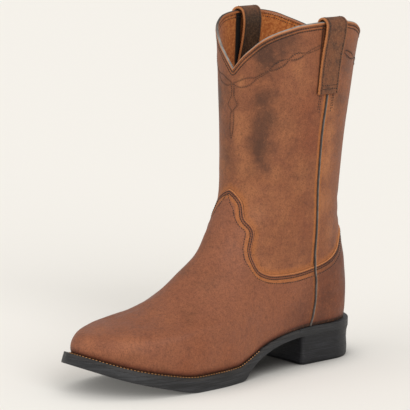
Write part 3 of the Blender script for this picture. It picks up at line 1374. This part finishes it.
def welt_row():
    turn = np.linspace(0, 2 * math.pi, 1400)
    place = offset_skin(turn, feather_height(turn), OUTSIDE + WELT_ROW, level=True)
    place = place[place[:, 1] > WELT_ROW_END]
    place[:, 2] = seat(place[:, 1]) + WELT_THREAD_ABOVE
    slope = (seat(place[:, 1] + 1) - seat(place[:, 1] - 1)) / 2
    ups = np.stack([np.zeros_like(slope), -slope, np.ones_like(slope)], -1)
    return place, ups / np.linalg.norm(ups, axis=1, keepdims=True)


sew("welt_stitches", [welt_row()], "welt_strip", tan_thread, pitch=3.0, width=1.0, height=0.8, covered=0.62)

# %% [markdown]
# ## Sole, heel, welt and insole
# The solids are cut into flat stations that would show in a close view, so the same sections are lofted
# again more finely.

# %% Sole and heel
SOLE_STATIONS, SOLE_FIRST, SOLE_LAST = 170, 0.035, 0.03
WELT_STATIONS, INSOLE_STATIONS = 190, 120
SOLE_EDGE = 0.9
HEEL_SOLE_EDGE = 0.2
STEP_RUN = 0.6
BREAST_CORNER = 5.0
WELT_EDGE = 0.4
INSOLE_PLAY, INSOLE_EDGE = 0.45, 0.8
INSOLE_END = 0.127
HEEL_SIDE = table(
    "part inset",
    (0.0, 2.2), (0.05, 1.0), (0.3, 0.7), (0.6, 1.3), (0.85, 1.0), (1.0, 0.2))
[heel_side_inset] = curves(HEEL_SIDE)
HEEL_LEVELS = (0, 0.02, 0.05, 0.12, 0.2, 0.3, 0.45, 0.6, 0.75, 0.85, 1.0)


def make_sole():
    turn = np.linspace(SOLE_FIRST, math.pi - SOLE_LAST, SOLE_STATIONS)
    stations = np.sort(np.append(SOLE_LENGTH * (1 - np.cos(turn)) / 2, [WELT_END, WELT_END + STEP_RUN]))
    sections = []
    for along in stations:
        top = 0 if along <= WELT_END else WELT_THICKNESS + CLOSE_GAP
        floor = float(sole_top(along) - sole_bottom(along))
        outer, inner = float(sole_across(along, 1)), float(sole_across(along, -1))
        edge = min(HEEL_SOLE_EDGE if along < HEEL_BREAST else SOLE_EDGE, (outer - inner) / 4)
        soft = edge * 0.3
        upper_edge = SOLE_EDGE / 2 if along <= WELT_END else CLOSE_GAP
        half = (
            (upper_edge, top), (0, top + upper_edge), (0, floor - edge), (soft, floor - soft), (edge, floor))
        rows = [(outer - inside, down) for inside, down in half]
        rows += [(inner + inside, down) for inside, down in half[::-1]]
        sections.append([sole_point(across, along, down) for across, down in rows])
    sole = loft("sole_rubber", sections, sole_material, sharp_angle=40)
    return seat_piece(sole, "sole_rubber", "outsole")


def heel_outline():
    """The heel block's plan: the sole's edge as far as the breast, whose corners are rounded."""
    back = HEEL_RADIUS * (1 - np.cos(np.linspace(0, math.pi / 2, 48)))
    straight = np.linspace(HEEL_RADIUS, HEEL_BREAST - BREAST_CORNER, 8)[1:]
    along = np.concatenate([back, straight])
    corner = np.linspace(0, math.pi / 2, 9)[1:]
    sides = []
    for side in (1, -1):
        edge = np.stack([sole_across(along, side), along], 1)
        centre = edge[-1] - [side * BREAST_CORNER, 0]
        arc = centre + BREAST_CORNER * np.stack([side * np.cos(corner), np.sin(corner)], 1)
        sides.append(np.concatenate([edge, arc]))
    return np.concatenate([sides[0][::-1], sides[1][1:]])


def make_heel():
    outline = heel_outline()
    along_it = np.roll(outline, -1, axis=0) - np.roll(outline, 1, axis=0)
    inward = np.stack([along_it[:, 1], -along_it[:, 0]], 1)
    inward /= np.linalg.norm(inward, axis=1, keepdims=True)
    inward *= np.sign((([0, HEEL_MIDDLE] - outline) * inward).sum(1, keepdims=True))
    height = float(sole_bottom(0.0)) - CLOSE_GAP
    sections = []
    for part in HEEL_LEVELS:
        plan = outline + inward * heel_side_inset(part)
        sections.append(np.column_stack([plan, np.full(len(plan), part * height)]))
    heel = loft("heel_block", sections, heel_material, sharp_angle=40)
    return seat_piece(heel, "sole_rubber", "heel")


make_sole()
make_heel()

# %% Welt and insole


def make_welt():
    start = math.acos(1 - 2 * (WELT_END + STEP_RUN + CLOSE_GAP) / SOLE_LENGTH)
    turn = np.linspace(start, 2 * math.pi - start, WELT_STATIONS)
    side = np.where(turn <= math.pi, 1, -1)
    along = SOLE_LENGTH * (1 - np.cos(turn)) / 2
    edge = sole_across(along, side)
    wall = offset_skin(turn, feather_height(turn), GAP / 2 - LINING_DEPTH, level=True)
    sections = []
    for i in range(len(turn)):
        corners = (
            (edge[i] - side[i] * WELT_EDGE, along[i], 0),
            (edge[i], along[i], WELT_EDGE),
            (edge[i], along[i], WELT_THICKNESS),
            (wall[i, 0], seat_section(wall[i, 1]), WELT_THICKNESS),
            (wall[i, 0], seat_section(wall[i, 1]), 0))
        sections.append([sole_point(*corner) for corner in corners])
    welt = loft("welt_strip", sections, welt_material, sharp_angle=40)
    return seat_piece(welt, "welt_strip", "welt")


def make_insole():
    turn = np.linspace(INSOLE_END, math.pi - INSOLE_END, INSOLE_STATIONS)
    low = feather_height(turn)
    inside = -LINING_DEPTH - INSOLE_PLAY
    outer = offset_skin(turn, low, inside, level=True)
    inner = offset_skin(2 * math.pi - turn, low, inside, level=True)
    along = (outer[:, 1] + inner[:, 1]) / 2
    outer_side, inner_side = curve(along, outer[:, 0]), curve(along, inner[:, 0])
    step = WELT_END + 1.0
    sections = []
    for place in np.sort(np.append(along, [step, step + STEP_RUN])):
        deeper = 0 if place <= step else WELT_THICKNESS + GAP
        low_face = seat(place) + GAP - deeper
        top = seat(place) + GAP + INSOLE_THICKNESS
        left, right = inner_side(place), outer_side(place)
        edge = min(INSOLE_EDGE, (right - left) / 5)
        sections.append([
            (right - edge, place, top), (right, place, top - edge), (right, place, low_face),
            (left, place, low_face), (left, place, top - edge), (left + edge, place, top)])
    insole = loft("insole_footbed", sections, footbed_material, sharp_angle=40)
    return seat_piece(insole, "insole_board", "insole")


make_welt()
make_insole()

# %% [markdown]
# ## Floor and light
# A pale floor stretches past the frame. Soft light comes from the camera's side, a little from the right,
# and from the whole sky, so the only shadow is the short one below the boot, as in a product photograph.

# %% Stage
FLOOR_RADIUS, FLOOR_SIDES = 12.0, 96
FLOOR_GLOW = 0.16
SHADOW_REACH = 0.05
SHADOW_FRONT, SHADOW_BACK, FRONT_SHARE = -0.20, -0.07, 0.33
SKY_COLOUR, SKY_STRENGTH = (1, 0.985, 0.955, 1), 0.65


def make_floor():
    mesh = bpy.data.meshes.new("studio_floor")
    turn = np.linspace(0, 2 * math.pi, FLOOR_SIDES, endpoint=False)
    ring = [(FLOOR_RADIUS * math.cos(a), FLOOR_RADIUS * math.sin(a), 0) for a in turn]
    mesh.from_pydata(ring, [], [list(range(FLOOR_SIDES))])
    n = Surface("pale_floor")
    open_to_sky = n.add("ShaderNodeAmbientOcclusion", "AO", {"Distance": SHADOW_REACH})
    depth = n.spread(n.level("Y"), SHADOW_FRONT, SHADOW_BACK, FRONT_SHARE, 1.0)
    covered = n.spread(open_to_sky, 0.1, 0.9, 1.0, 0.0)
    shade = n.math("SUBTRACT", 1.0, n.math("MULTIPLY", covered, depth))
    glow = n.tint((0.02, 0.018, 0.016), (shade, (1, 0.972, 0.909)))
    n.link(glow, n.shader.inputs["Emission Color"])
    pale = n.tint((0.05, 0.048, 0.046), (shade, (0.71, 0.69, 0.655)))
    mesh.materials.append(n.finish(pale, 1.0, Specular_IOR_Level=0.0, Emission_Strength=FLOOR_GLOW))
    add_object("studio_floor", mesh)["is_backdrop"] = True


def sun(name, toward_camera, toward_left, up, strength, spread):
    """A soft sun, placed by the camera's own directions so that its side of the picture is plain."""
    turn = math.radians(VIEW_TURN)
    to_camera = Vector((math.sin(turn), -math.cos(turn), 0))
    to_left = Vector((-math.cos(turn), -math.sin(turn), 0))
    place = to_camera * toward_camera + to_left * toward_left + Vector((0, 0, up))
    data = bpy.data.lights.new(name, "SUN")
    data.energy = strength
    data.angle = math.radians(spread)
    add_object(name, data).rotation_euler = place.to_track_quat("Z", "Y").to_euler()


make_floor()
world = bpy.data.worlds.new("studio_world")
world.use_nodes = True
sky = world.node_tree.nodes["Background"].inputs
sky["Color"].default_value = SKY_COLOUR
sky["Strength"].default_value = SKY_STRENGTH
bpy.context.scene.world = world
bpy.context.scene.view_settings.view_transform = "Standard"
sun("key_sun", toward_camera=0.85, toward_left=-0.42, up=0.6, strength=1.7, spread=40)
sun("left_sun", toward_camera=0.5, toward_left=1.0, up=0.7, strength=0.75, spread=60)

# %% Sizes, then finish
own_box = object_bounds()
for name, box in (("CAD box", cad_box), ("visual box", own_box)):
    print(name, [[round(value, 4) for value in corner] for corner in box])
